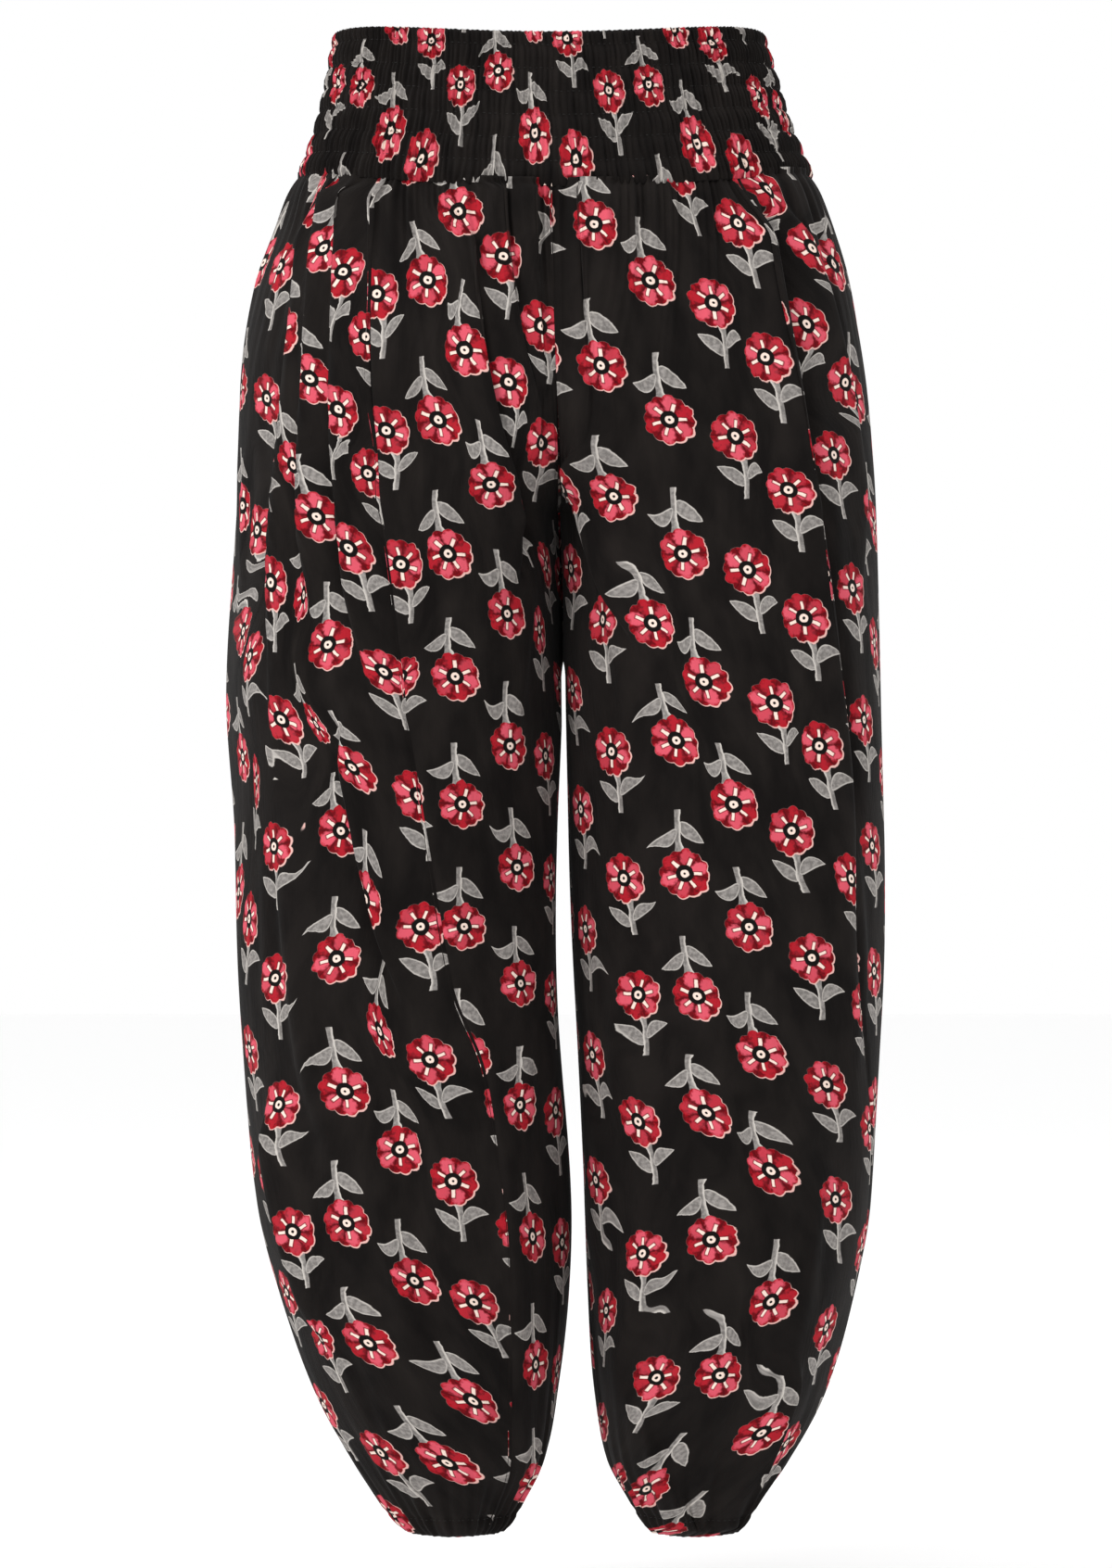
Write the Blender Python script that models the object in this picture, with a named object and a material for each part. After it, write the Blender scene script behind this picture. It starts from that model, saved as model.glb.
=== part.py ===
"""Harem pants: a shirred waistband, and two full legs gathered at the waist seam and at the ankle.

Every piece is a wall of cloth that stands open, as if it were worn. Run it with
blender --background --python part.py, or from Blender's text editor.
The frame is in metres, +Z up. The origin is the centre of the waist opening and the front faces
-Y. "Left" is the leg at -X, on the left as seen from the front. A drop is a depth below the origin.
"""

import itertools
import math
from collections import namedtuple

import bpy
from mathutils import Vector

# Driving sizes, in millimetres.
CLOTH_WALL = 1.6  # the leg panels
BAND_WALL = 1.4  # the waistband, from its plain inside to the foot of its gathers
SEAM_GAP = 0.3
CROTCH_DROP = 300.0
HEM_DROP = 957.0
WAIST_RISE_SIDE = 9.0  # the top edge stands this much higher at the sides
SEAM_DROP_SIDE = 83.0  # the waist seam at the sides
SEAM_DIP_FRONT = 15.0  # how much lower it runs at the front
SEAM_DIP_BACK = 9.0
DIP_FADE_DROP = 215.0  # below this the seam's dip no longer bends the rows
LEG_CLEARANCE = 0.4  # each leg keeps this far from the plane between them
SEWN_REACH = 22.0  # how near the seat seam the folds flatten out
CROTCH_FADE = 60.0  # how far below the crotch they still do
INSIDE_TRIM = 0.6  # a panel's inside stops this much sooner at its edges than its outside
EVEN_LIMIT = 0.62  # on a sharp bend the inside's corner moves at most the wall's width over this
ANGLE_STEP = 0.01  # a ring's direction is taken over this angle to each side, in radians
WIDTH_STEPS = 24  # a panel's width is measured over this many chords

# The waistband: elastic rows pinch its gathers, and the cloth puffs out between the rows.
BAND_GATHERS = 64
ELASTIC_ROWS = 7
TOP_CASING = 8.4  # from the top edge to the first elastic row
BAND_RIDGE = 1.0
BAND_RIDGE_UNEVEN = 0.4  # the share by which the ridges differ
BAND_PUFF = 1.3
PLAIN_INSIDE_ROWS = (0, 5, 9, 2 * ELASTIC_ROWS - 1)  # the band's inside needs only these

# Gathers where a panel meets the waist seam and the hem.
PANEL_COLUMNS = 30
WAIST_GATHER_DEPTH = 3.0
WAIST_GATHER_UNEVEN = 0.45  # the share by which the gathers differ
WAIST_GATHER_REACH = 95.0
HEM_GATHER_DEPTH = 2.6
HEM_GATHER_REACH = 62.0
HEM_CASING = 20.0  # the stitching flattens the gathers this near the seam and the hem
PINCH = 0.4  # the share of their depth that it takes from them

# The drops of a leg panel's rows below its top edge.
PANEL_ROWS = (
    100, 128, 160, 196, 234, 266, 287, 300, 322, 376, 450,
    530, 605, 670, 728, 780, 828, 872, 908, 934, 949, 957,
)  # fmt: skip

LEFT, RIGHT = -1, 1
FRONT, BACK = "front", "back"
PANEL_GATHERS = {FRONT: 10, BACK: 15}

# One row for each level section. left and right are the garment's two sides, and middle is the plane
# between the legs. join is 1 where both legs share one ring and 0 where they have parted. gap is
# what then lies between a leg and the middle. front and back are depths, and full is how far a
# section is fuller than an ellipse.
Section = namedtuple("Section", "drop middle left right join gap front back full")
SECTIONS = (
    Section(-10, -4, -143, 134, 1.00, 0.0, 91, 96, 0.50),
    Section(14, -4, -147, 141, 1.00, 0.0, 93, 100, 0.48),
    Section(50, -3, -155, 152, 1.00, 0.0, 99, 108, 0.44),
    Section(86, -3, -168, 168, 1.00, 0.0, 106, 120, 0.40),
    Section(116, -3, -179, 180, 0.97, 0.0, 112, 131, 0.36),
    Section(150, -2, -192, 190, 0.86, 0.0, 117, 141, 0.33),
    Section(206, 0, -203, 199, 0.53, 0.0, 121, 148, 0.27),
    Section(266, 2, -207, 204, 0.17, 0.0, 120, 143, 0.20),
    Section(300, 3, -208, 206, 0.00, 0.6, 118, 136, 0.16),
    Section(416, 4, -213, 211, 0.00, 1.0, 114, 124, 0.12),
    Section(506, 5, -207, 212, 0.00, 3.6, 112, 120, 0.10),
    Section(626, 8, -203, 210, 0.00, 5.7, 110, 117, 0.10),
    Section(746, 13, -193, 204, 0.00, 4.2, 104, 111, 0.08),
    Section(806, 14, -179, 192, 0.00, 6.6, 95, 101, 0.06),
    Section(866, 13, -157, 174, 0.00, 12.4, 79, 83, 0.04),
    Section(912, 13, -131, 150, 0.00, 21.0, 60, 62, 0.02),
    Section(941, 13, -111, 129, 0.00, 37.0, 43, 44, 0.00),
    Section(957, 13, -98, 119, 0.00, 46.0, 33, 34, 0.00),
)

# Where the side seam and the inseam run, in degrees round each leg: 0 faces the other leg, 90 the
# front and 180 the side. The left leg hangs twisted.
Seam = namedtuple("Seam", "drop left_side left_inseam right_side right_inseam")
SEAMS = (
    Seam(83, 132, 0, 133, 0),
    Seam(224, 113, 0, 124, 0),
    Seam(311, 92, 0, 117, 0),
    Seam(470, 80, -12, 129, 0),
    Seam(600, 70, -30, 143, 0),
    Seam(655, 58, -40, 152, 1),
    Seam(750, 51, -58, 170, 2),
    Seam(957, 50, -80, 182, 4),
)

# One row for each large fold: three points on its crest or trough, each a drop and an x, then its
# height, its half width, and how far its crest leans towards the outer side of the leg.
Fold = namedtuple("Fold", "leg face top_drop top_x mid_drop mid_x low_drop low_x height width lean")
FOLDS = (
    Fold(LEFT, FRONT, 150, -180, 305, -189, 430, -188, 7, 11, 5),
    Fold(LEFT, FRONT, 104, -152, 209, -167, 400, -168, 10, 12, 8),
    Fold(LEFT, FRONT, 104, -136, 308, -135, 448, -108, 12, 13, 10),
    Fold(LEFT, FRONT, 409, -139, 531, -117, 650, -84, 11, 13, 9),
    Fold(LEFT, FRONT, 97, -112, 368, -95, 650, -42, 8, 12, 7),
    Fold(LEFT, FRONT, 630, -46, 780, -26, 935, -27, 7, 11, 5),
    Fold(LEFT, FRONT, 150, -72, 272, -52, 365, -18, 9, 13, -8),
    Fold(LEFT, FRONT, 140, -50, 213, -31, 280, -10, 6, 11, -4),
    Fold(LEFT, FRONT, 660, -177, 756, -162, 850, -126, 9, 13, -6),
    Fold(LEFT, FRONT, 620, -118, 731, -94, 865, -68, -7, 15, 0),
    Fold(LEFT, BACK, 105, -120, 300, -128, 520, -120, 11, 14, 7),
    Fold(LEFT, BACK, 105, -60, 320, -70, 600, -92, -9, 14, 0),
    Fold(LEFT, BACK, 350, -40, 520, -52, 800, -60, 10, 14, -7),
    Fold(LEFT, BACK, 480, -160, 650, -142, 860, -98, 11, 14, 7),
    Fold(RIGHT, FRONT, 97, 112, 319, 148, 610, 186, 10, 12, 7),
    Fold(RIGHT, FRONT, 97, 130, 319, 165, 600, 199, -7, 10, 0),
    Fold(RIGHT, FRONT, 150, 160, 281, 181, 370, 198, 8, 11, 6),
    Fold(RIGHT, FRONT, 262, 14, 324, 36, 410, 72, 9, 12, -7),
    Fold(RIGHT, FRONT, 104, 24, 175, 35, 270, 55, 6, 13, 0),
    Fold(RIGHT, FRONT, 490, 44, 569, 92, 650, 140, 6, 15, -4),
    Fold(RIGHT, FRONT, 850, 46, 905, 58, 950, 84, 6, 10, 3),
    Fold(RIGHT, FRONT, 830, 150, 892, 130, 940, 106, 7, 11, 4),
    Fold(RIGHT, BACK, 105, 118, 300, 130, 520, 126, 11, 14, 7),
    Fold(RIGHT, BACK, 105, 62, 320, 66, 600, 88, -9, 14, 0),
    Fold(RIGHT, BACK, 350, 42, 520, 56, 800, 74, 10, 14, -7),
    Fold(RIGHT, BACK, 470, 165, 650, 152, 860, 118, 11, 14, 7),
)
FOLD_END_SHARE = 0.22  # the share of a fold's length over which it swells or dies away

# Broad slack in the cloth between the folds: waves round the leg and down it.
Slack = namedtuple("Slack", "round_leg wave_drop phase depth")
SLACKS = (
    Slack(5, 480.0, 0.4, 1.6),
    Slack(8, 300.0, 2.2, 1.1),
)

BLACK_COTTON = (0.014, 0.012, 0.012, 1.0)
COTTON_ROUGHNESS = 0.85
SHARP_ANGLE = math.radians(35)  # a bend sharper than this keeps its edge


def clamp(value, low, high):
    return max(low, min(high, value))


def ease(value):
    """0 to 1 with no corner at either end."""
    value = clamp(value, 0.0, 1.0)
    return value * value * (3 - 2 * value)


def lookup(table, field, drop):
    """A table's column at any drop, on a smooth curve through its rows that never overshoots."""
    drop = clamp(drop, table[0].drop, table[-1].drop)
    at = max(i for i in range(len(table) - 1) if table[i].drop <= drop)
    near = [table[clamp(at + step, 0, len(table) - 1)] for step in (-1, 0, 1, 2)]
    drops = [row.drop for row in near]
    values = [getattr(row, field) for row in near]
    span = drops[2] - drops[1]
    rise = values[2] - values[1]

    def slope(before, after):
        found = (values[after] - values[before]) / (drops[after] - drops[before]) * span
        return found if found * rise > 0 else 0.0

    t = (drop - drops[1]) / span
    return (
        (2 * t**3 - 3 * t**2 + 1) * values[1]
        + (t**3 - 2 * t**2 + t) * slope(0, 2)
        + (3 * t**2 - 2 * t**3) * values[2]
        + (t**3 - t**2) * slope(1, 3)
    )


def centre_and_reach(leg, drop):
    """The middle and the half width of a leg's ring. Above the crotch it reaches past the middle."""
    middle = lookup(SECTIONS, "middle", drop)
    left = lookup(SECTIONS, "left", drop)
    right = lookup(SECTIONS, "right", drop)
    side, other = (right, left) if leg == RIGHT else (left, right)
    inner = middle + lookup(SECTIONS, "join", drop) * (other - middle)
    inner += leg * lookup(SECTIONS, "gap", drop)
    return (side + inner) / 2, abs(side - inner) / 2


def plain_point(leg, angle, drop):
    """A point of the unfolded leg at an angle round its ring."""
    centre, reach = centre_and_reach(leg, drop)
    depth = lookup(SECTIONS, "front" if math.sin(angle) > 0 else "back", drop)
    fuller = 1 + lookup(SECTIONS, "full", drop) * math.cos(angle) ** 2
    x = centre - leg * reach * math.cos(angle)
    return Vector((x, -depth * math.sin(angle) * fuller, -drop))


def round_the_ring(leg, angle, drop):
    """The direction of a leg's ring at an angle, and how far it runs for one radian."""
    after = plain_point(leg, angle + ANGLE_STEP, drop)
    step = after - plain_point(leg, angle - ANGLE_STEP, drop)
    return step.normalized(), step.length / (2 * ANGLE_STEP)


def angle_at(leg, x, drop):
    """The angle in the front half of a leg's ring at which it has this x."""
    centre, reach = centre_and_reach(leg, drop)
    return math.acos(clamp(leg * (centre - x) / reach, -1.0, 1.0))


def panel_angles(leg, face, drop):
    """The angles of a panel's inner edge and its side edge."""
    name = "left" if leg == LEFT else "right"
    side = math.radians(lookup(SEAMS, name + "_side", drop))
    inseam = math.radians(lookup(SEAMS, name + "_inseam", drop))
    if drop < CROTCH_DROP:
        meeting = angle_at(leg, lookup(SECTIONS, "middle", drop), drop)
    else:
        meeting = 0.0
    return (meeting if face == FRONT else math.tau - meeting) + inseam, side


def fold_at(fold, angle, drop, radius):
    """How far a fold lifts a point of the leg, and how far it shifts it round the leg."""
    length = fold.low_drop - fold.top_drop
    t = (drop - fold.top_drop) / length
    if not 0 < t < 1:
        return 0.0, 0.0
    mid = (fold.mid_drop - fold.top_drop) / length
    x = (
        fold.top_x * (t - mid) * (t - 1) / mid
        + fold.mid_x * t * (t - 1) / (mid * (mid - 1))
        + fold.low_x * t * (t - mid) / (1 - mid)
    )
    crest = angle_at(fold.leg, x, drop)
    outwards = 1
    if fold.face == BACK:
        crest = math.tau - crest
        outwards = -1
    away = (angle - crest + math.pi) % math.tau - math.pi
    bump = math.exp(-((radius * away / fold.width) ** 2))
    bump *= ease(t / FOLD_END_SHARE) * ease((1 - t) / FOLD_END_SHARE)
    return fold.height * bump, fold.lean * outwards * bump


def gather_lift(face, share, drop, seam_drop):
    """The gathers below the waist seam and above the hem."""
    below, above = drop - seam_drop, HEM_DROP - drop
    uneven = 1 + WAIST_GATHER_UNEVEN * math.sin(9 * share + 1) * math.sin(23 * share)
    waist = WAIST_GATHER_DEPTH * uneven * math.exp(-below / WAIST_GATHER_REACH)
    hem = HEM_GATHER_DEPTH * math.exp(-above / HEM_GATHER_REACH)
    pinch = 1 - PINCH * (1 - ease(min(below, above) / HEM_CASING))
    return math.cos(math.tau * PANEL_GATHERS[face] * share) * pinch * (waist + hem)


def seam_drop_at(angle):
    """The waist seam's drop, at an angle round the whole waist."""
    dip = SEAM_DIP_FRONT if math.sin(angle) > 0 else SEAM_DIP_BACK
    return SEAM_DROP_SIDE + dip * math.sin(angle) ** 2


def leg_point(leg, face, share, row_drop):
    """A point of a leg's outside. share runs from the panel's inner edge, 0, to its side edge, 1."""
    inner, side = panel_angles(leg, face, row_drop)
    seam_drop = seam_drop_at(inner + share * (side - inner))
    fade = (row_drop - SEAM_DROP_SIDE) / (DIP_FADE_DROP - SEAM_DROP_SIDE)
    drop = row_drop + (seam_drop - SEAM_DROP_SIDE) * (1 - ease(fade))
    inner, side = panel_angles(leg, face, drop)
    angle = inner + share * (side - inner)

    point = plain_point(leg, angle, drop)
    along, radius = round_the_ring(leg, angle, drop)
    out = leg * along.cross(Vector((0, 0, 1)))

    lift, shift = 0.0, 0.0
    for slack in SLACKS:
        down = math.sin(math.tau * drop / slack.wave_drop + slack.phase)
        lift += slack.depth * math.sin(slack.round_leg * angle + leg * slack.phase) * down
    for fold in FOLDS:
        if fold.leg == leg:
            rise, slide = fold_at(fold, angle, drop, radius)
            lift += rise
            shift += slide

    # The seat seam joins the two legs above the crotch, so both keep to the same line near it.
    middle = lookup(SECTIONS, "middle", drop)
    free = ease(abs(point.x - middle) / SEWN_REACH)
    if drop > CROTCH_DROP:
        free = max(free, ease((drop - CROTCH_DROP) / CROTCH_FADE))
    lift = free * lift + gather_lift(face, share, drop, seam_drop)
    return point + lift * out + free * shift * along


def clear_of_middle(leg, point):
    """Keeps a point on its own leg's side of the plane between the legs."""
    drop = -point.z
    near = LEG_CLEARANCE if drop >= CROTCH_DROP else SEAM_GAP / 2
    middle = lookup(SECTIONS, "middle", drop)
    point.x = leg * max(leg * point.x, leg * middle + near)


def solid(name, outer, inner, closed, mirrored, material):
    """A wall between two grids of points, each a list of rows. A closed one runs all the way round.

    It is made of triangles, and both grids are cut along the same diagonals, so that the wall keeps
    its thickness where it twists. The diagonals lean the other way on a mirrored one.
    """
    columns = len(outer[0])
    steps = columns if closed else columns - 1
    points = []
    firsts = []
    for rows in (outer, inner):
        firsts.append(len(points))
        points += [point / 1000 for row in rows for point in row]

    def corner(first, row, column):
        return first + row * columns + column % columns

    faces = []

    def add(a, b, c, d, turned):
        """The quad a b c d, cut from a to c, or from b to d if the wall is mirrored."""
        halves = [(a, b, d), (b, c, d)] if mirrored else [(a, b, c), (a, c, d)]
        faces.extend([half[::-1] for half in halves] if turned else halves)

    for first, rows, turned in zip(firsts, (outer, inner), (False, True)):
        for row in range(len(rows) - 1):
            for column in range(steps):
                add(
                    corner(first, row, column),
                    corner(first, row + 1, column),
                    corner(first, row + 1, column + 1),
                    corner(first, row, column + 1),
                    turned,
                )
    out, back = firsts
    for out_row, in_row, turned in ((0, 0, False), (len(outer) - 1, len(inner) - 1, True)):
        for column in range(steps):
            add(
                corner(out, out_row, column),
                corner(out, out_row, column + 1),
                corner(back, in_row, column + 1),
                corner(back, in_row, column),
                turned,
            )
    if not closed:
        for column, turned in ((0, True), (columns - 1, False)):
            for row in range(len(outer) - 1):
                add(
                    corner(out, row, column),
                    corner(out, row + 1, column),
                    corner(back, row + 1, column),
                    corner(back, row, column),
                    turned,
                )

    mesh = bpy.data.meshes.new(name)
    mesh.from_pydata(points, [], faces)
    mesh.materials.append(material)
    mesh.shade_smooth()
    mesh.set_sharp_from_angle(angle=SHARP_ANGLE)
    piece = bpy.data.objects.new(name, mesh)
    bpy.context.scene.collection.objects.link(piece)
    return piece


def share_of_millimetre(leg, face, drop):
    """How much of a panel's width one millimetre round the plain leg is."""
    inner, side = panel_angles(leg, face, drop)
    angles = [inner + (side - inner) * i / WIDTH_STEPS for i in range(WIDTH_STEPS + 1)]
    points = [plain_point(leg, angle, drop) for angle in angles]
    return 1 / sum((b - a).length for a, b in zip(points, points[1:]))


def inside_of(rows):
    """A grid moved inwards by the cloth's wall, evenly over the facets that meet at each point."""
    last_row, last_column = len(rows) - 1, len(rows[0]) - 1
    normals = {}
    for row in range(last_row):
        for column in range(last_column):
            down = rows[row + 1][column + 1] - rows[row][column]
            up = rows[row][column + 1] - rows[row + 1][column]
            normals[row, column] = down.cross(up).normalized()
    moved = []
    for row in range(last_row + 1):
        moved.append([])
        for column in range(last_column + 1):
            around = itertools.product((row - 1, row), (column - 1, column))
            met = [normals[at] for at in around if at in normals]
            middle = sum(met, Vector()).normalized()
            reach = CLOTH_WALL / max(EVEN_LIMIT, min(middle.dot(normal) for normal in met))
            moved[-1].append(rows[row][column] - reach * middle)
    return moved


def leg_panel(name, leg, face, material):
    """One of the legs' four panels. Its wall is turned inwards from its outside."""
    step = 1 / PANEL_COLUMNS
    outer, base = [], []
    for drop in (SEAM_DROP_SIDE + SEAM_GAP / 2, *PANEL_ROWS):
        millimetre = share_of_millimetre(leg, face, drop)
        for rows, trim in ((outer, SEAM_GAP / 2), (base, SEAM_GAP / 2 + INSIDE_TRIM)):
            trim *= millimetre
            shares = [clamp(i * step, trim, 1 - trim) for i in range(PANEL_COLUMNS + 1)]
            rows.append([leg_point(leg, face, share, drop) for share in shares])
            for point in rows[-1]:
                clear_of_middle(leg, point)
        # The inside turns as if the cloth ran on past its two edges.
        before, after = (leg_point(leg, face, share, drop) for share in (-step, 1 + step))
        base[-1] = [before, *base[-1], after]
    mirrored = (leg == LEFT) == (face == FRONT)
    if mirrored:
        outer = [row[::-1] for row in outer]
        base = [row[::-1] for row in base]
    inner = [row[1:-1] for row in inside_of(base)]
    for point in itertools.chain(*inner):
        clear_of_middle(leg, point)
    return solid(name, outer, inner, False, mirrored, material)


def waistband(name, material):
    """The shirred band: its outer points are raised into gathers over a plain inside."""
    columns = 2 * BAND_GATHERS
    seam_shares = [0.0]
    full_height = SEAM_DROP_SIDE + SEAM_DIP_FRONT
    pitch = (full_height - TOP_CASING) / (ELASTIC_ROWS - 1)
    for row in range(2 * ELASTIC_ROWS - 1):
        seam_shares.append((TOP_CASING + pitch * row / 2) / full_height)

    def foot_and_out(column, share):
        angle = math.tau * column / columns
        top = -WAIST_RISE_SIDE * math.cos(angle) ** 2
        bottom = seam_drop_at(angle) - SEAM_GAP / 2
        drop = top + share * (bottom - top)
        along, _ = round_the_ring(RIGHT, angle, drop)
        return plain_point(RIGHT, angle, drop), along.cross(Vector((0, 0, 1)))

    deepest = BAND_RIDGE * (1 + BAND_RIDGE_UNEVEN) + BAND_PUFF / 2
    outer, inner = [], []
    for row, share in enumerate(seam_shares):
        between_rows = row % 2 == 0 and row > 0
        puff = BAND_PUFF / 2 if between_rows else -BAND_PUFF / 2
        outer_row, inner_row = [], []
        for column in range(columns):
            foot, out = foot_and_out(column, share)
            uneven = 1 + BAND_RIDGE_UNEVEN * math.sin(2.3 * column + 1.7 * row)
            ridge = BAND_RIDGE * uneven * (1 if column % 2 else -1)
            outer_row.append(foot + out * (puff + ridge))
            inner_row.append(foot - out * (BAND_WALL + deepest))
        outer.append(outer_row)
        if row in PLAIN_INSIDE_ROWS:
            inner.append(inner_row)
    return solid(name, outer, inner, True, False, material)


def cotton():
    material = bpy.data.materials.new("black_cotton")
    material.use_nodes = True
    shader = material.node_tree.nodes["Principled BSDF"]
    shader.inputs["Base Color"].default_value = BLACK_COTTON
    shader.inputs["Roughness"].default_value = COTTON_ROUGHNESS
    shader.inputs["Metallic"].default_value = 0.0
    return material


def main():
    for thing in list(bpy.data.objects):
        bpy.data.objects.remove(thing)
    material = cotton()
    waistband("waistband", material)
    leg_panel("leg_front_left", LEFT, FRONT, material)
    leg_panel("leg_back_left", LEFT, BACK, material)
    leg_panel("leg_front_right", RIGHT, FRONT, material)
    leg_panel("leg_back_right", RIGHT, BACK, material)


main()
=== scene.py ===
import math

import bpy
import numpy as np
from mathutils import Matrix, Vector


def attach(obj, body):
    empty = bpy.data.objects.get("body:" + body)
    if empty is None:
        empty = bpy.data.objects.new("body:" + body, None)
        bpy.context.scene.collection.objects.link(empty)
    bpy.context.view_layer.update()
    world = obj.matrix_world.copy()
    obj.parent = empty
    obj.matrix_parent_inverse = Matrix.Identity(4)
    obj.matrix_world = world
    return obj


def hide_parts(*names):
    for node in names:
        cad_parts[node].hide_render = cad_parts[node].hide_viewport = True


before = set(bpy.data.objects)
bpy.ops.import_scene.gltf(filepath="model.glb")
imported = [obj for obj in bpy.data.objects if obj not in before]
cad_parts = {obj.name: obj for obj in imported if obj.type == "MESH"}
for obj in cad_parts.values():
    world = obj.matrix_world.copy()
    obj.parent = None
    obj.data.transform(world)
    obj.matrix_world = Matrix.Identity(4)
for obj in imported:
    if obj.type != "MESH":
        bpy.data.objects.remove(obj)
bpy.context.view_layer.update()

# Tables and sizes are in millimetres, and a drop is a depth below the middle of the waist opening.
# "Left" is the leg at -X. Meshes are in metres, in the frame of the CAD model.
left, right = -1, 1
mm = 0.001


# a table as one array for each named column
def columnsOf(names, rows):
    return dict(zip(names.split(), np.array(rows, float).T))


# the form, a row for each level section: its middle and two sides, how far each leg's ring reaches across to
# the other side, half the gap between the legs, its depths, and how square the ring is
sections = columnsOf("drop middle left right join gap front back full", [
    (-10, -4, -143, 134, 1.00, 0.0, 91, 96, 0.50),
    (14, -4, -147, 141, 1.00, 0.0, 93, 100, 0.48),
    (50, -3, -155, 152, 1.00, 0.0, 99, 108, 0.44),
    (86, -3, -168, 168, 1.00, 0.0, 106, 120, 0.40),
    (116, -3, -179, 180, 0.97, 0.0, 112, 131, 0.36),
    (150, -2, -192, 190, 0.86, 0.0, 117, 141, 0.33),
    (206, 0, -203, 199, 0.53, 0.0, 121, 148, 0.27),
    (266, 2, -207, 204, 0.17, 0.0, 120, 143, 0.20),
    (300, 3, -208, 206, 0.00, 0.6, 118, 136, 0.16),
    (416, 4, -213, 211, 0.00, 1.0, 114, 124, 0.12),
    (506, 5, -207, 212, 0.00, 3.6, 112, 120, 0.10),
    (626, 8, -203, 210, 0.00, 5.7, 110, 117, 0.10),
    (746, 13, -193, 204, 0.00, 4.2, 104, 111, 0.08),
    (806, 14, -179, 192, 0.00, 6.6, 95, 101, 0.06),
    (866, 13, -157, 174, 0.00, 12.4, 79, 83, 0.04),
    (912, 13, -131, 150, 0.00, 21.0, 60, 62, 0.02),
    (941, 13, -111, 129, 0.00, 37.0, 43, 44, 0.00),
    (957, 13, -98, 119, 0.00, 46.0, 33, 34, 0.00),
])
# where the side seam and the inseam run, in degrees round each leg from its inner side, over the front
seams = columnsOf("drop sideLeft inseamLeft sideRight inseamRight", [
    (83, 132, 0, 133, 0),
    (224, 113, 0, 124, 0),
    (311, 92, 0, 117, 0),
    (470, 80, -12, 129, 0),
    (600, 70, -30, 143, 0),
    (655, 58, -40, 152, 1),
    (750, 51, -58, 170, 2),
    (957, 50, -80, 182, 4),
])
body = {
    "crotchDrop": 300.0, "hemDrop": 957.0, "waistRise": 9.0,
    "seamDrop": 83.0, "dipFront": 15.0, "dipBack": 9.0, "dipFades": 215.0,  # the waist seam and its dips
}


def ease(value):
    value = np.clip(value, 0.0, 1.0)
    return value * value * (3 - 2 * value)


# a smooth curve through one column of a table that never overshoots its rows
def follow(table, field, at):
    knots, values = table["drop"], table[field]
    at = np.clip(np.asarray(at, float), knots[0], knots[-1])
    here = np.clip(np.searchsorted(knots, at, side="right") - 1, 0, len(knots) - 2)
    before, after = np.maximum(here - 1, 0), np.minimum(here + 2, len(knots) - 1)
    span = knots[here + 1] - knots[here]
    rise = values[here + 1] - values[here]

    def slope(low, high):
        found = (values[high] - values[low]) / (knots[high] - knots[low]) * span
        return np.where(found * rise > 0, found, 0.0)

    t = (at - knots[here]) / span
    return ((2 * t**3 - 3 * t**2 + 1) * values[here] + (t**3 - 2 * t**2 + t) * slope(before, here + 1)
            + (3 * t**2 - 2 * t**3) * values[here + 1] + (t**3 - t**2) * slope(here, after))


# the middle of a leg's ring and half its width
def ringOf(leg, drop):
    middle, join, gap = (follow(sections, name, drop) for name in ("middle", "join", "gap"))
    names = ("right", "left") if leg == right else ("left", "right")
    side, other = (follow(sections, name, drop) for name in names)
    inner = middle + join * (other - middle) + leg * gap
    return (side + inner) / 2, np.abs(side - inner) / 2


# the form without folds
def plainCloth(leg, angle, drop):
    centre, reach = ringOf(leg, drop)
    front, back = follow(sections, "front", drop), follow(sections, "back", drop)
    depth = np.where(np.sin(angle) > 0, front, back)
    fuller = 1 + follow(sections, "full", drop) * np.cos(angle) ** 2
    x = centre - leg * reach * np.cos(angle)
    return np.stack([x, -depth * np.sin(angle) * fuller, -drop + 0 * x], axis=-1)


# which way the ring runs there, and its length for each radian
def roundTheRing(leg, angle, drop):
    nudge = 0.01
    step = plainCloth(leg, angle + nudge, drop) - plainCloth(leg, angle - nudge, drop)
    length = np.linalg.norm(step, axis=-1)
    return step / length[..., None], length / (2 * nudge)


def angleAt(leg, x, drop):
    centre, reach = ringOf(leg, drop)
    return np.arccos(np.clip(leg * (centre - x) / reach, -1.0, 1.0))


def panelEdges(leg, face, drop):
    name = "Left" if leg == left else "Right"
    side = np.radians(follow(seams, "side" + name, drop))
    inseam = np.radians(follow(seams, "inseam" + name, drop))
    middle = follow(sections, "middle", drop)
    meeting = np.where(drop < body["crotchDrop"], angleAt(leg, middle, drop), 0.0)
    return (meeting if face == "front" else 2 * np.pi - meeting) + inseam, side


# from the inseam at share 0 to the side seam at share 1
def angleAcross(leg, face, share, drop):
    inner, side = panelEdges(leg, face, drop)
    if face == "back":
        inner, side = 2 * np.pi - inner, 2 * np.pi - side
    bend = np.where(inner > 0, np.clip(np.pi / 2 / np.maximum(inner, 0.01), 1, 2), 1)
    near = np.where(share < 0, 1 - share * bend, np.abs(1 - share) ** bend)
    angle = side * share + inner * np.where(share > 1, 0, near)
    return angle if face == "front" else 2 * np.pi - angle


def seamDropAt(angle):
    dip = np.where(np.sin(angle) > 0, body["dipFront"], body["dipBack"])
    return body["seamDrop"] + dip * np.sin(angle) ** 2


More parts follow.
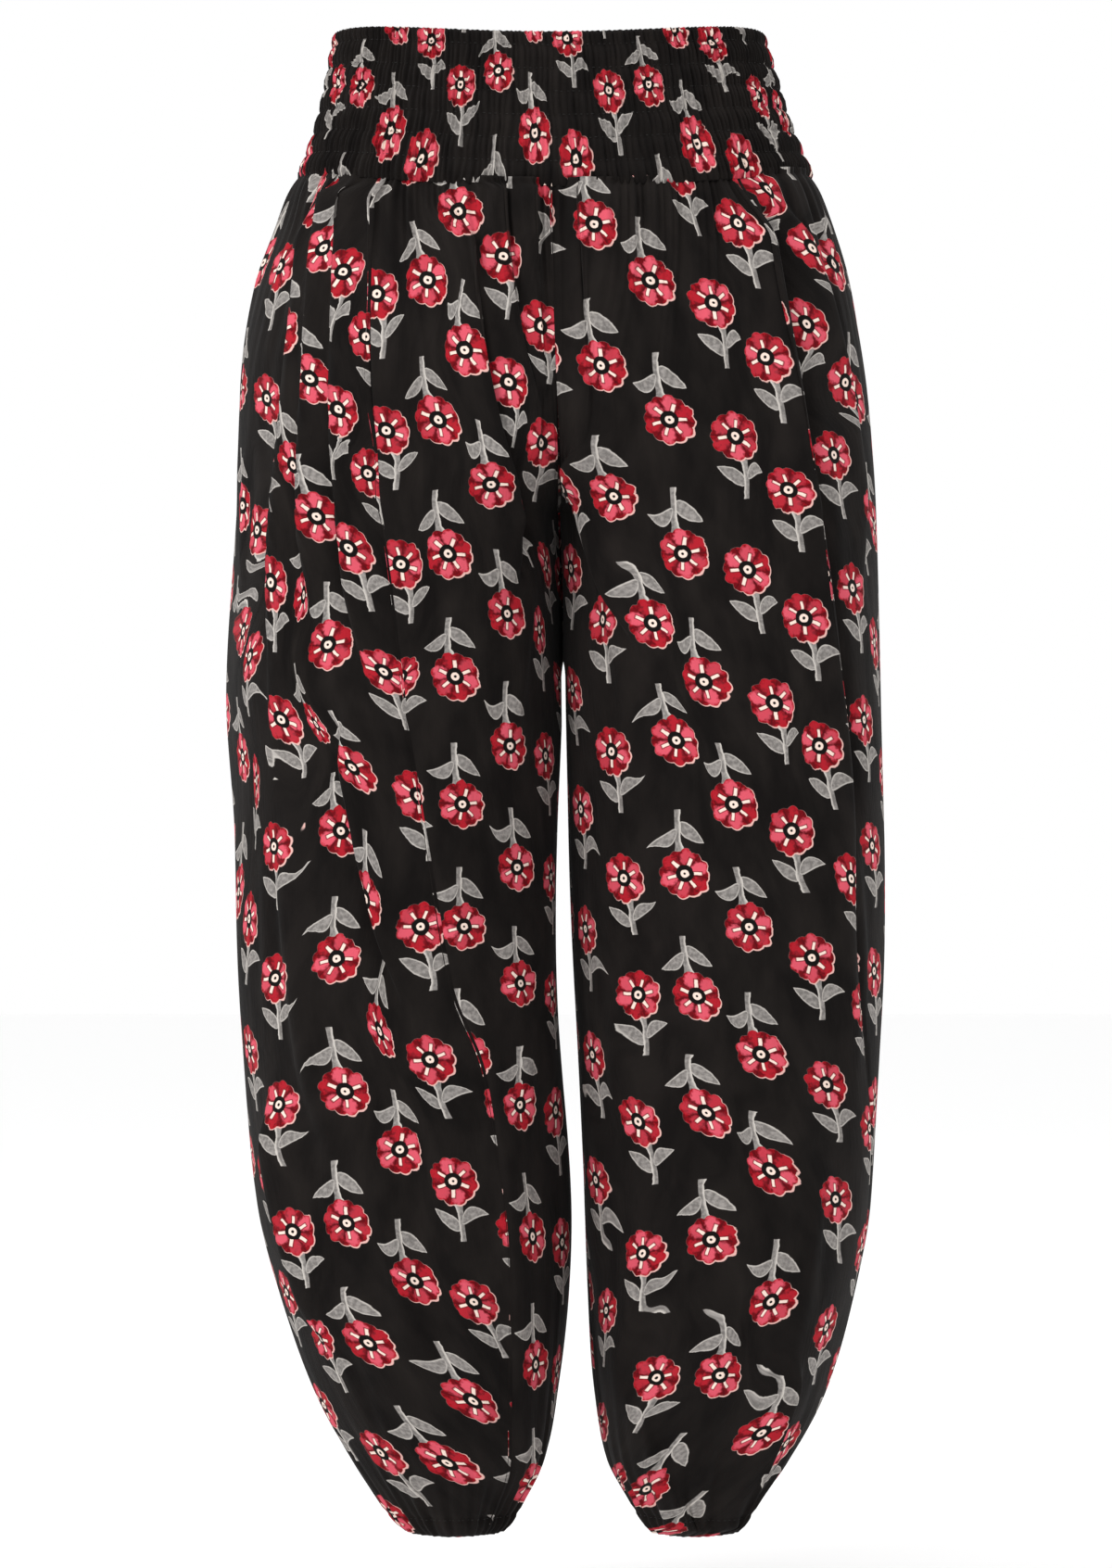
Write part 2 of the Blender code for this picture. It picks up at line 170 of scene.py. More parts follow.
# large folds: three points on the crest, each a drop and an x; then how high it stands, its half width, how
# far its crest is carried towards the outer side, the shares of its length over which its top and its bottom
# end die away, and how much cloth it hides beyond what its own shape takes
folds = {
    (left, "front"): [
        ((92, -146), (262, -162), (500, -178), 5, 7, 14, 0.10, 0.45, 45),
        ((92, -136), (209, -144), (400, -148), 6, 7, 14, 0.03, 0.30, 22),
        ((92, -122), (308, -123), (448, -104), 6, 7, 14, 0.03, 0.30, 16),
        ((409, -128), (531, -106), (650, -74), 7, 9, 15, 0.25, 0.35, 10),
        ((92, -108), (368, -91), (650, -40), 3, 9, 7, 0.03, 0.30, 0),
        ((630, -42), (780, -22), (935, -24), 4, 10, 8, 0.30, 0.20, 0),
        ((110, -72), (272, -50), (365, -18), 7, 11, -20, 0.10, 0.30, 0),
        ((92, -46), (213, -31), (290, -9), 5, 9, -13, 0.05, 0.30, 0),
        ((92, -20), (180, -17), (262, -6), 4, 7, -9, 0.05, 0.30, 0),
        ((660, -177), (756, -162), (850, -126), 8, 12, 14, 0.25, 0.25, 0),
        ((620, -118), (731, -94), (865, -68), -6, 14, 0, 0.25, 0.25, 0),
        ((480, -170), (600, -160), (720, -138), 4, 12, 8, 0.30, 0.30, 0),
    ],
    (left, "back"): [
        ((98, -120), (300, -128), (520, -120), 8, 12, 18, 0.03, 0.30, 0),
        ((98, -60), (320, -70), (600, -92), -7, 14, 0, 0.05, 0.30, 0),
        ((350, -40), (520, -52), (800, -60), 8, 13, -16, 0.25, 0.30, 0),
        ((480, -160), (650, -142), (860, -98), 9, 13, 16, 0.25, 0.25, 0),
        ((98, -150), (240, -166), (420, -172), 6, 11, 13, 0.03, 0.35, 0),
        ((98, -28), (190, -34), (300, -30), 5, 9, -9, 0.03, 0.35, 0),
    ],
    (right, "front"): [
        ((92, 113), (319, 149), (610, 187), 6, 11, 18, 0.08, 0.35, 0),
        ((97, 132), (319, 167), (600, 200), -5, 9, 0, 0.05, 0.30, 0),
        ((104, 140), (202, 172), (370, 194), 6, 10, 12, 0.10, 0.35, 20),
        ((255, 12), (324, 36), (410, 72), 8, 12, -18, 0.15, 0.40, 0),
        ((92, 22), (175, 31), (270, 48), 5, 11, -7, 0.05, 0.35, 0),
        ((92, 8), (190, 9), (272, 16), 4, 7, 9, 0.05, 0.25, 0),
        ((490, 44), (569, 92), (650, 140), 5, 15, -4, 0.30, 0.30, 0),
        ((420, 150), (560, 176), (700, 190), 4, 12, 6, 0.30, 0.30, 0),
        ((850, 46), (905, 58), (957, 84), 6, 9, 8, 0.25, 0.05, 0),
        ((830, 150), (892, 130), (957, 102), 6, 10, 10, 0.25, 0.05, 0),
    ],
    (right, "back"): [
        ((98, 118), (300, 130), (520, 126), 8, 12, 16, 0.03, 0.30, 0),
        ((98, 62), (320, 66), (600, 88), -7, 14, 0, 0.05, 0.30, 0),
        ((350, 42), (520, 56), (800, 74), 8, 13, -15, 0.25, 0.30, 0),
        ((470, 165), (650, 152), (860, 118), 9, 13, 15, 0.25, 0.25, 0),
        ((98, 26), (200, 34), (310, 30), 5, 9, -9, 0.03, 0.35, 0),
    ],
}
# small creases, mostly drag lines: two ends, each a drop and an x, then height and half width
creases = {
    (left, "front"): [
        (262, -22, 330, -44, 2.4, 6), (285, -14, 372, -30, -2.2, 6), (330, -12, 470, -30, 1.8, 7),
        (120, -94, 260, -90, 1.6, 6), (180, -82, 330, -74, -1.4, 8), (400, -66, 560, -52, 1.4, 9),
        (470, -96, 640, -82, -2.0, 8), (560, -30, 700, -14, 1.8, 8), (600, -150, 760, -136, 2.0, 8),
        (700, -72, 860, -52, 2.4, 8), (720, -110, 880, -84, 2.2, 7), (240, -196, 380, -202, 2.0, 6),
        (300, -150, 420, -150, -2.0, 7), (500, -186, 640, -182, 1.8, 7), (760, -30, 900, -34, -2.0, 7),
        (800, -140, 905, -104, -2.4, 7), (130, -126, 250, -128, -1.8, 5), (540, -126, 660, -112, 1.8, 8),
    ],
    (left, "back"): [
        (130, -90, 300, -104, 2.0, 8), (262, -30, 340, -60, -2.4, 7), (290, -18, 380, -44, 2.4, 7),
        (420, -100, 620, -104, 1.8, 10), (600, -70, 780, -78, -2.2, 9), (660, -120, 840, -96, 2.2, 8),
        (400, -186, 560, -184, 2.0, 8), (740, -40, 890, -48, 2.2, 8), (180, -186, 330, -196, -1.8, 8),
    ],
    (right, "front"): [
        (258, 20, 312, 52, -2.4, 5), (282, 12, 348, 30, 2.2, 5), (330, 18, 450, 40, -1.8, 7),
        (110, 48, 230, 52, 1.5, 6), (104, 72, 250, 80, -1.6, 8), (150, 92, 300, 112, 1.6, 8),
        (300, 70, 470, 92, 1.4, 10), (360, 118, 520, 140, -1.6, 9), (560, 40, 700, 36, 1.8, 8),
        (640, 70, 800, 84, 2.0, 9), (600, 120, 770, 128, -2.0, 9), (700, 170, 840, 152, 2.2, 8),
        (760, 50, 880, 66, -2.2, 8), (780, 104, 900, 104, 2.2, 7), (470, 190, 640, 196, 2.0, 7),
        (520, 60, 620, 86, 1.6, 8),
    ],
    (right, "back"): [
        (130, 90, 300, 100, 2.0, 8), (262, 30, 340, 60, -2.4, 7), (290, 18, 380, 44, 2.4, 7),
        (420, 104, 620, 108, 1.8, 10), (600, 76, 780, 88, -2.2, 9), (660, 130, 840, 116, 2.2, 8),
        (400, 190, 560, 192, 2.0, 8), (740, 50, 890, 66, 2.2, 8),
    ],
}
cloth = {
    "panelColumns": 144, "panelWidth": 210.0, "thickness": 0.7, "legGap": 0.4,
    "behindTurn": 0.06,  # how wide the line straight behind is taken to be, in radians
    "creaseGain": 1.4, "creaseFade": 0.4, "sewnReach": 22.0, "crotchFade": 60.0,
    "meetingDepth": 2.4, "meetingWave": 17.0, "meetingWidth": 16.0,  # the line along which the legs touch
    "meetingTop": 288.0, "meetingLow": 392.0, "meetingFade": 14.0,
    "seamTurnIn": 1.9, "seamTurnWidth": 2.6, "seamAllowance": 1.3,
    "bandTurnIn": 2.6, "bandTurnWidth": 5.0, "topTuck": 4.0,
    "hemTurnIn": 2.2, "hemTurnWidth": 3.0, "hemCasing": 12.5, "casingGroove": 1.1, "grooveWidth": 1.8,
}
slack = [(5, 480.0, 0.4, 1.6), (8, 300.0, 2.2, 1.1)]  # waves round, wave length down, phase, depth
gathers = {  # waves across each panel, depth and reach; then how flat and how far an elastic holds them
    "waist": {"front": ((10, 1.7, 95.0), (27, 1.5, 46.0)), "back": ((15, 1.7, 95.0), (34, 1.4, 46.0))},
    "hem": {"front": ((10, 1.6, 62.0), (17, 1.7, 40.0)), "back": ((15, 1.6, 62.0), (27, 1.6, 40.0))},
    "pinch": 0.45, "pinchReach": 14.0,
}
# how much of the cloth under the folds the print leaves out
underFolds = {
    "seamReach": 105.0,  # a fold that starts above this drop runs on up to the waist seam
    "starts": 0.2, "grows": 1.2,  # in half widths of the fold
    "outDrop": 120.0, "outLength": 600.0, "outAngle": 2.2, "outTurn": 0.9,  # where the back lets it out again
}


# each row of a table for one leg, with its face
def rowsOn(leg, table):
    return [(face, *row) for face in ("front", "back") for row in table[leg, face]]


# how far round from a fold's crest, and how much of the fold is there at that drop
def awayFrom(leg, face, path, angle, drop, ends):
    (topDrop, topX), (midDrop, midX), (lowDrop, lowX) = path
    length = lowDrop - topDrop
    t = (drop - topDrop) / length
    mid = (midDrop - topDrop) / length
    x = (topX * (t - mid) * (t - 1) / mid + midX * t * (t - 1) / (mid * (mid - 1))
         + lowX * t * (t - mid) / (1 - mid))
    crest = angleAt(leg, x, drop)
    if face == "back":
        crest = 2 * np.pi - crest
    away = (angle - crest + np.pi) % (2 * np.pi) - np.pi
    return away, ease(t / ends[0]) * ease((1 - t) / ends[1])


# the numbers within the sines only keep the gathers uneven
def gatherLift(face, share, drop, seamDrop):
    below, above = np.maximum(drop - seamDrop, 0), np.maximum(body["hemDrop"] - drop, 0)
    lift = 0 * share
    for number, (waves, depth, reach) in enumerate(gathers["waist"][face]):
        drift = 0.9 * np.sin(7 * share + 3 * number) + 0.5 * np.sin(17 * share + 1.3 + below / 60)
        uneven = 1 + 0.5 * np.sin(9 * share + 1) * np.sin(23 * share + number)
        ownReach = reach * (1 + 0.5 * np.sin(31 * share + 2 * number))
        ridge = np.cos(2 * np.pi * waves * share + number * drift)
        lift = lift + depth * uneven * np.exp(-below / ownReach) * ridge
    for number, (waves, depth, reach) in enumerate(gathers["hem"][face]):
        drift = 0.9 * np.sin(8 * share + 2 + number) + 0.4 * np.sin(19 * share + above / 30)
        ownReach = reach * (1 + 0.4 * np.sin(27 * share + number))
        ridge = np.cos(2 * np.pi * waves * share + number * drift)
        lift = lift + depth * np.exp(-above / ownReach) * ridge
    return lift * (1 - gathers["pinch"] * (1 - ease(np.minimum(below, above) / gathers["pinchReach"])))


def layPanel(leg, face, shares, rowDrops):
    share, rowDrop = np.meshgrid(shares, rowDrops)
    above = np.maximum(body["seamDrop"] - rowDrop, 0)  # the top edge, tucked in behind the waistband
    rowDrop = np.maximum(rowDrop, body["seamDrop"])
    seamDrop = seamDropAt(angleAcross(leg, face, share, rowDrop))
    dipFade = ease((rowDrop - body["seamDrop"]) / (body["dipFades"] - body["seamDrop"]))
    drop = rowDrop + (seamDrop - body["seamDrop"]) * (1 - dipFade)
    angle = angleAcross(leg, face, share, drop)
    point = plainCloth(leg, angle, drop)
    along, radius = roundTheRing(leg, angle, drop)
    out = leg * np.cross(along, (0, 0, 1))

    # the first of each pair is the form; the second, for the print, has the folds run on up to the seam
    lift, shift, hidden = np.zeros((2, *share.shape)), np.zeros((2, *share.shape)), 0 * share
    for waves, length, phase, depth in slack:
        lift += depth * np.sin(waves * angle + leg * phase) * np.sin(2 * np.pi * drop / length + phase)
    letOut = 1 - ease((drop - underFolds["outDrop"]) / underFolds["outLength"])
    atBack = ease((angle - underFolds["outAngle"]) / underFolds["outTurn"])
    for foldFace, top, mid, low, height, width, tuck, topFade, lowFade, hides in rowsOn(leg, folds):
        away, ends = awayFrom(leg, foldFace, (top, mid, low), angle, drop, (topFade, lowFade))
        away = radius * away
        lasting = ends
        if top[0] <= underFolds["seamReach"]:
            lasting = ease((low[0] - drop) / (lowFade * (low[0] - top[0])))
        bump = np.exp(-((away / width) ** 2)) * np.stack([ends, lasting])
        onwards = 1 if (foldFace == "front") == (tuck >= 0) else -1
        lift += height * bump
        shift += abs(tuck) * onwards * bump
        past = onwards * away + 2 * np.pi * radius * ((away < 0) & (angle > np.pi))
        reached = ease((past / width - underFolds["starts"]) / underFolds["grows"])
        hidden += leg * onwards * hides * (lasting + (letOut - lasting) * atBack) * reached
    for foldFace, topDrop, topX, lowDrop, lowX, height, width in rowsOn(leg, creases):
        path = ((topDrop, topX), ((topDrop + lowDrop) / 2, (topX + lowX) / 2), (lowDrop, lowX))
        away, ends = awayFrom(leg, foldFace, path, angle, drop, (cloth["creaseFade"],) * 2)
        lift += cloth["creaseGain"] * height * ends * np.exp(-((radius * away / width) ** 2))

    middle = follow(sections, "middle", drop)
    free = ease(np.abs(point[..., 0] - middle) / cloth["sewnReach"])
    free = np.maximum(free, ease((drop - body["crotchDrop"]) / cloth["crotchFade"]))
    lift = free * lift

    # every edge turns in to its seam, and the hem rolls under
    inseam, side = angleAcross(leg, face, np.array([[0.0], [1.0]]), rowDrops[None])
    fromEdge = np.minimum(share, 1 - share) * (np.abs(side - inseam) * radius.mean(axis=1))[:, None]
    lift -= cloth["seamTurnIn"] * np.exp(-((fromEdge / cloth["seamTurnWidth"]) ** 2))
    lift -= cloth["bandTurnIn"] * np.exp(-((drop - seamDrop) / cloth["bandTurnWidth"]))
    aboveHem = body["hemDrop"] - drop
    lift -= cloth["hemTurnIn"] * np.exp(-((aboveHem / cloth["hemTurnWidth"]) ** 2))
    lift -= cloth["casingGroove"] * np.exp(-(((aboveHem - cloth["hemCasing"]) / cloth["grooveWidth"]) ** 2))

    point, smooth = point + lift[..., None] * out + (free * shift)[..., None] * along
    smooth[..., 2] += above
    point[..., 2] += above
    point += gatherLift(face, share, drop, seamDrop)[..., None] * out
    # below the crotch the legs touch along a winding line for a little way
    winding = cloth["meetingDepth"] * np.sin(point[..., 1] / cloth["meetingWave"])
    winding *= ease((drop - cloth["meetingTop"]) / cloth["meetingFade"])
    winding *= ease((cloth["meetingLow"] - drop) / cloth["meetingFade"] + 1)
    point[..., 0] += winding * np.exp(-(((point[..., 0] - middle) / cloth["meetingWidth"]) ** 2))
    apart = np.where(drop >= body["crotchDrop"], cloth["legGap"], -cloth["legGap"])
    point[..., 0] = leg * np.maximum(leg * point[..., 0], leg * (middle + winding) + apart)
    return point, smooth, hidden


# how far along its row each point lies
def arcAlong(points):
    steps = np.linalg.norm(np.diff(points, axis=1), axis=-1)
    return np.hstack([np.zeros((len(points), 1)), np.cumsum(steps, axis=1)])


# a mesh from a grid of points; a closed one runs all the way round
def meshFrom(name, points, uv=None, closed=False, **fields):
    rows, columns = points.shape[:2]
    number = np.arange(rows * columns).reshape(rows, columns)
    if closed:
        number = np.hstack([number, number[:, :1]])
    quads = np.stack([number[:-1, :-1], number[1:, :-1], number[1:, 1:], number[:-1, 1:]], axis=-1)
    mesh = bpy.data.meshes.new(name)
    mesh.from_pydata((points.reshape(-1, 3) * mm).tolist(), [], quads.reshape(-1, 4).tolist())
    if uv is not None:
        layer = mesh.uv_layers.new(name="cloth")
        across = np.concatenate([uv, uv[:, :1]], axis=1) if closed else uv
        if closed:
            across[:, -1, 0] += fields.pop("roundU")
        corner = np.stack([across[:-1, :-1], across[1:, :-1], across[1:, 1:], across[:-1, 1:]], axis=2)
        layer.data.foreach_set("uv", (corner.reshape(-1) * mm).astype(np.float32))
    for field, values in fields.items():
        kept = mesh.attributes.new(field, "FLOAT", "POINT")
        kept.data.foreach_set("value", values.reshape(-1).astype(np.float32))
    mesh.shade_smooth()
    return mesh


def addPiece(name, mesh, material):
    piece = bpy.data.objects.new(name, mesh)
    bpy.context.scene.collection.objects.link(piece)
    mesh.materials.append(material)
    return piece


# gives a sheet its thickness, inwards, with a finish of its own on the inside
def thicken(piece, thickness, inside):
    piece.data.materials.append(inside)
    solid = piece.modifiers.new("thickness", "SOLIDIFY")
    solid.thickness = thickness * mm
    solid.offset = -1
    solid.material_offset = 1
    solid.material_offset_rim = 0


# the print: columns of one block, two of them stem up and the next two stem down, half a repeat lower
block = {"column": 42.5, "repeat": 84.5, "above": 30.0, "startDrops": (0.0, 34.0, 42.25, 76.25)}
camera = {"distance": 3300.0, "drop": 474.0, "lens": 117.02, "sensor": 36}
charting = {
    "near": 4.5, "missCost": 9, "depthCost": 0.35,  # which cloth a charted place means
    "reachAcross": 28.0, "reachDown": 60.0, "core": 0.07, "falloff": -2.5,  # how far a flower's move carries
    "reachFar": 90.0,  # across a panel with flowers charted at one edge only
    "frontDepth": 100.0, "frontFade": 80.0,  # where the moves have died away towards the back
}


# x and drop in the middle plane, as the camera sees them
def asSeen(points):
    scale = camera["distance"] / (camera["distance"] + points[..., 1])
    return points[..., 0] * scale, camera["drop"] - (points[..., 2] + camera["drop"]) * scale


# moves the print until each charted flower lies where it is seen
def chartPrint(baseU, baseV, points, chart, reachAcross=charting["reachAcross"]):
    seenX, seenDrop = asSeen(points)
    behind = points[..., 1] - points[..., 1].min()
    period = np.array([4 * block["column"], block["repeat"]])
    found = []
    for column, first, places in chart:
        strip = []
        for number, (x, drop) in enumerate(places):
            away = np.hypot(seenX - x, seenDrop - drop)
            cost = away * np.where(away < charting["near"], 1, charting["missCost"])
            at = np.unravel_index(np.argmin(cost + charting["depthCost"] * behind), away.shape)
            u = block["column"] * column
            v = block["startDrops"][column % 4] + block["repeat"] * (first + number)
            strip.append((baseU[at], baseV[at], u - baseU[at], v - baseV[at]))
        strip = np.array(strip)
        if found:  # the print repeats, so the nearest like place serves for the whole strip
            ahead = np.concatenate(found)[:, 2:].mean(axis=0) - strip[:, 2:].mean(axis=0)
            strip[:, 2:] += period * np.round(ahead / period)
        found.append(strip)
    found = np.concatenate(found)
    # an even drift down the cloth, then what each flower lacks, which isn't carried to the back
    drift = np.polyfit(found[:, 1], found[:, 2:], 2)
    even = [np.clip(at, found[:, 1].min(), found[:, 1].max())[..., None] for at in (baseV, found[:, 1])]
    even = [drift[0] * at**2 + drift[1] * at + drift[2] for at in even]
    moves, total = np.zeros((*baseU.shape, 2)), np.zeros((*baseU.shape, 1))
    for (across, down), move in zip(found[:, :2], found[:, 2:] - even[1]):
        far = ((baseU - across) / reachAcross) ** 2 + ((baseV - down) / charting["reachDown"]) ** 2
        weight = ((far + charting["core"]) ** charting["falloff"])[..., None]
        moves, total = moves + weight * move, total + weight
    atFront = ease((charting["frontDepth"] - points[..., 1:2]) / charting["frontFade"])
    return even[0] + moves / total * atFront, found


# where the middle of each flower lies, seen from the front: the column, the number down of its first one,
# then the x and drop of that one and of those below it
charts = {
    "leg_front_right": [
        (0, 0, [(25, 111), (29, 202), (38, 288), (63, 369), (77, 446), (83, 531), (91, 611), (98, 686),
                (100, 770), (107, 857)]),
        (1, 0, [(61, 147), (73, 237), (82, 324), (95, 407), (115, 488), (125, 567), (132, 650),
                (140, 723), (140, 810), (133, 894)]),
        (2, 0, [(101, 161), (116, 249), (124, 336), (141, 421), (153, 505), (165, 587), (175, 667),
                (182, 744), (178, 827), (153, 903)]),
        (3, -1, [(118, 110), (137, 198), (149, 284), (161, 368), (171, 450)]),
        (-1, 2, [(29, 368), (35, 452), (43, 534), (53, 610), (53, 694), (56, 777), (65, 859)]),
        (-2, 4, [(14, 489), (19, 568), (23, 650), (23, 732), (32, 815)]),
    ],
    "leg_back_right": [
        (2, 1, [(138, 88), (161, 177), (181, 262), (193, 348), (201, 432), (206, 513), (207, 595)]),
        (3, 1, [(164, 126), (187, 213)]),
    ],
    "leg_front_left": [
        (0, 0, [(-83, 147), (-76, 237), (-70, 325), (-65, 406), (-61, 486), (-59, 567)]),
        (1, -1, [(-64, 104), (-59, 194), (-42, 281), (-31, 364), (-29, 450), (-25, 527), (-22, 602),
                 (-23, 680)]),
        (2, -1, [(-34, 132), (-31, 215)]),
        (3, -1, [(-8, 178), (-8, 252)]),
        (-1, -1, [(-116, 156), (-109, 246), (-101, 332)]),
    ],
    "leg_back_left": [
        (1, -1, [(-152, 126), (-157, 213), (-153, 299), (-146, 384)]),
        (2, -1, [(-140, 141), (-140, 232), (-135, 320)]),
        (3, -1, [(-124, 183), (-121, 272)]),
        (0, 4, [(-140, 505), (-141, 587), (-139, 672), (-135, 759), (-122, 835)]),
        (-1, 2, [(-181, 432), (-183, 515), (-183, 598), (-180, 682), (-171, 765)]),
        (1, 6, [(-100, 710), (-91, 795)]), (2, 4, [(-89, 568), (-82, 651), (-68, 732), (-52, 811)]),
        (-2, -1, [(-182, 138), (-187, 225), (-194, 310), (-199, 392)]),
        (-3, 1, [(-204, 293), (-206, 376), (-206, 455)]),
    ],
    "waistband": [
        (0, 0, [(-37, 12)]), (4, 0, [(60, 19)]), (1, 0, [(-14, 51)]), (-3, 0, [(-107, 50)]),
        (5, 0, [(91, 57)]), (2, -1, [(7, -7), (13, 70)]), (-2, -1, [(-81, -8), (-87, 69)]),
        (6, -1, [(101, -4), (122, 71)]), (3, -1, [(34, 24)]), (-1, -1, [(-62, 21)]), (7, -1, [(131, 30)]),
    ],
}


# a number in a node tree, so that sums can be written out plainly
class Number:
    def __init__(self, tree, socket):
        self.tree, self.socket = tree, socket

    def do(self, operation, *others, clamp=False):
        node = self.tree.nodes.new("ShaderNodeMath")
        node.operation, node.use_clamp = operation, clamp
        for place, value in zip(node.inputs, (self, *others)):
            feed(self.tree, place, value)
        return Number(self.tree, node.outputs[0])

    def __add__(self, other):
        return self.do("ADD", other)

    def __sub__(self, other):
        return self.do("SUBTRACT", other)

    def __mul__(self, other):
        return self.do("MULTIPLY", other)

    def __neg__(self):
        return self.do("MULTIPLY", -1.0)

    def over(self, low, high):  # 0 at low and below, 1 at high and above
        return (self - low).do("DIVIDE", high - low, clamp=True)

    def wrapped(self, low, high):
        return self.do("WRAP", high, low)

    def cos(self):
        return self.do("COSINE")

    def sin(self):
        return self.do("SINE")

    def abs(self):
        return self.do("ABSOLUTE")


def feed(tree, place, value):
    if isinstance(value, Number):
        tree.links.new(value.socket, place)
    elif isinstance(value, bpy.types.NodeSocket):
        tree.links.new(value, place)
    else:
        place.default_value = value


def addNode(tree, kind, inputs=(), **settings):
    node = tree.nodes.new(kind)
    for name, value in settings.items():
        setattr(node, name, value)
    for name, value in dict(inputs).items():
        feed(tree, node.inputs[name], value)
    return node


# a socket is given by its starting value, or where it has none by its kind
def newTree(name, kind, inputs, outputs):
    tree = bpy.data.node_groups.new(name, kind)
    for direction, sockets in (("INPUT", inputs), ("OUTPUT", outputs)):
        for socket, given in sockets.items():
            kinds = {str: given, float: "Float", tuple: "Vector"}
            made = tree.interface.new_socket(
                socket, in_out=direction, socket_type="NodeSocket" + kinds[type(given)])
            if not isinstance(given, str):
                made.default_value = given
    entry = tree.nodes.new("NodeGroupInput")
    numbers = {name: Number(tree, entry.outputs[name]) for name in inputs}
    return tree, numbers, tree.nodes.new("NodeGroupOutput")


def mixed(tree, share, under, over):
    node = tree.nodes.new("ShaderNodeMix")
    node.data_type = "RGBA"
    feed(tree, node.inputs[0], share)
    feed(tree, node.inputs[6], under)
    feed(tree, node.inputs[7], over)
    return node.outputs[2]


def noiseAt(tree, x, y, z, scale, detail=2.0):
    place = addNode(tree, "ShaderNodeCombineXYZ", {"X": x, "Y": y, "Z": z})
    inputs = {"Vector": place.outputs[0], "Scale": scale, "Detail": detail}
    return Number(tree, addNode(tree, "ShaderNodeTexNoise", inputs).outputs[0])


# ends a geometry tree: real faces with the piece's material
def finishTree(tree, geometry, material, made):
    real = addNode(tree, "GeometryNodeRealizeInstances", {"Geometry": geometry})
    dressed = addNode(tree, "GeometryNodeSetMaterial", {"Geometry": real.outputs[0], "Material": material})
    tree.links.new(dressed.outputs[0], made.inputs["Geometry"])
    return tree


# from the numbers of a screen colour, 0 to 255, to the light that it stands for
def dye(*screen):
    shares = [number / 255 for number in screen]
    return (*[((c + 0.055) / 1.055) ** 2.4 if c > 0.04045 else c / 12.92 for c in shares], 1)


dyes = {
    "ground": dye(14, 11, 10), "groundWorn": dye(29, 25, 23),
    "darkRed": dye(102, 8, 17), "red": dye(158, 16, 29), "pink": dye(206, 82, 98),
    "cream": dye(232, 210, 197), "rim": dye(216, 170, 162), "dark": dye(62, 7, 14), "disc": dye(15, 13, 12),
    "grey": dye(110, 106, 103), "greyLight": dye(146, 141, 137), "greyEdge": dye(194, 188, 181),
}
# one block of the print, in millimetres to the right and down from the middle of its flower
bloom = {
    "petals": 6, "radius": 14.7, "scallop": 1.5, "sway": 0.35, "lobeAt": 10.2, "lobeFades": (-5.5, -3.7),
    "rim": 0.15, "rimAcross": 0.9, "rimDown": 0.7, "seamHalf": 0.45,
    "shadeStroke": (1.6, 5.0, 11.6), "creamStroke": (0.95, 5.6, 10.8),  # half width, start, end
    "rings": ((5.7, "disc"), (2.7, "cream"), (0.95, "disc")),
    "stemHalf": 2.0, "stemAt": 3.4, "stemTop": 9.0, "stemEnd": 41.4,
    "flareFrom": 21.0, "flareTo": 13.0, "flareHalf": 2.4, "flareAt": -1.2,  # the stem widens to the flower
    # for each leaf its base, its tip, how far it bends, and its width
    "leaves": (((4.2, 28.6), (22.5, 23.2), -4.6, 4.5), ((2.4, 33.4), (-14.8, 20.6), 1.0, 4.6)),
}


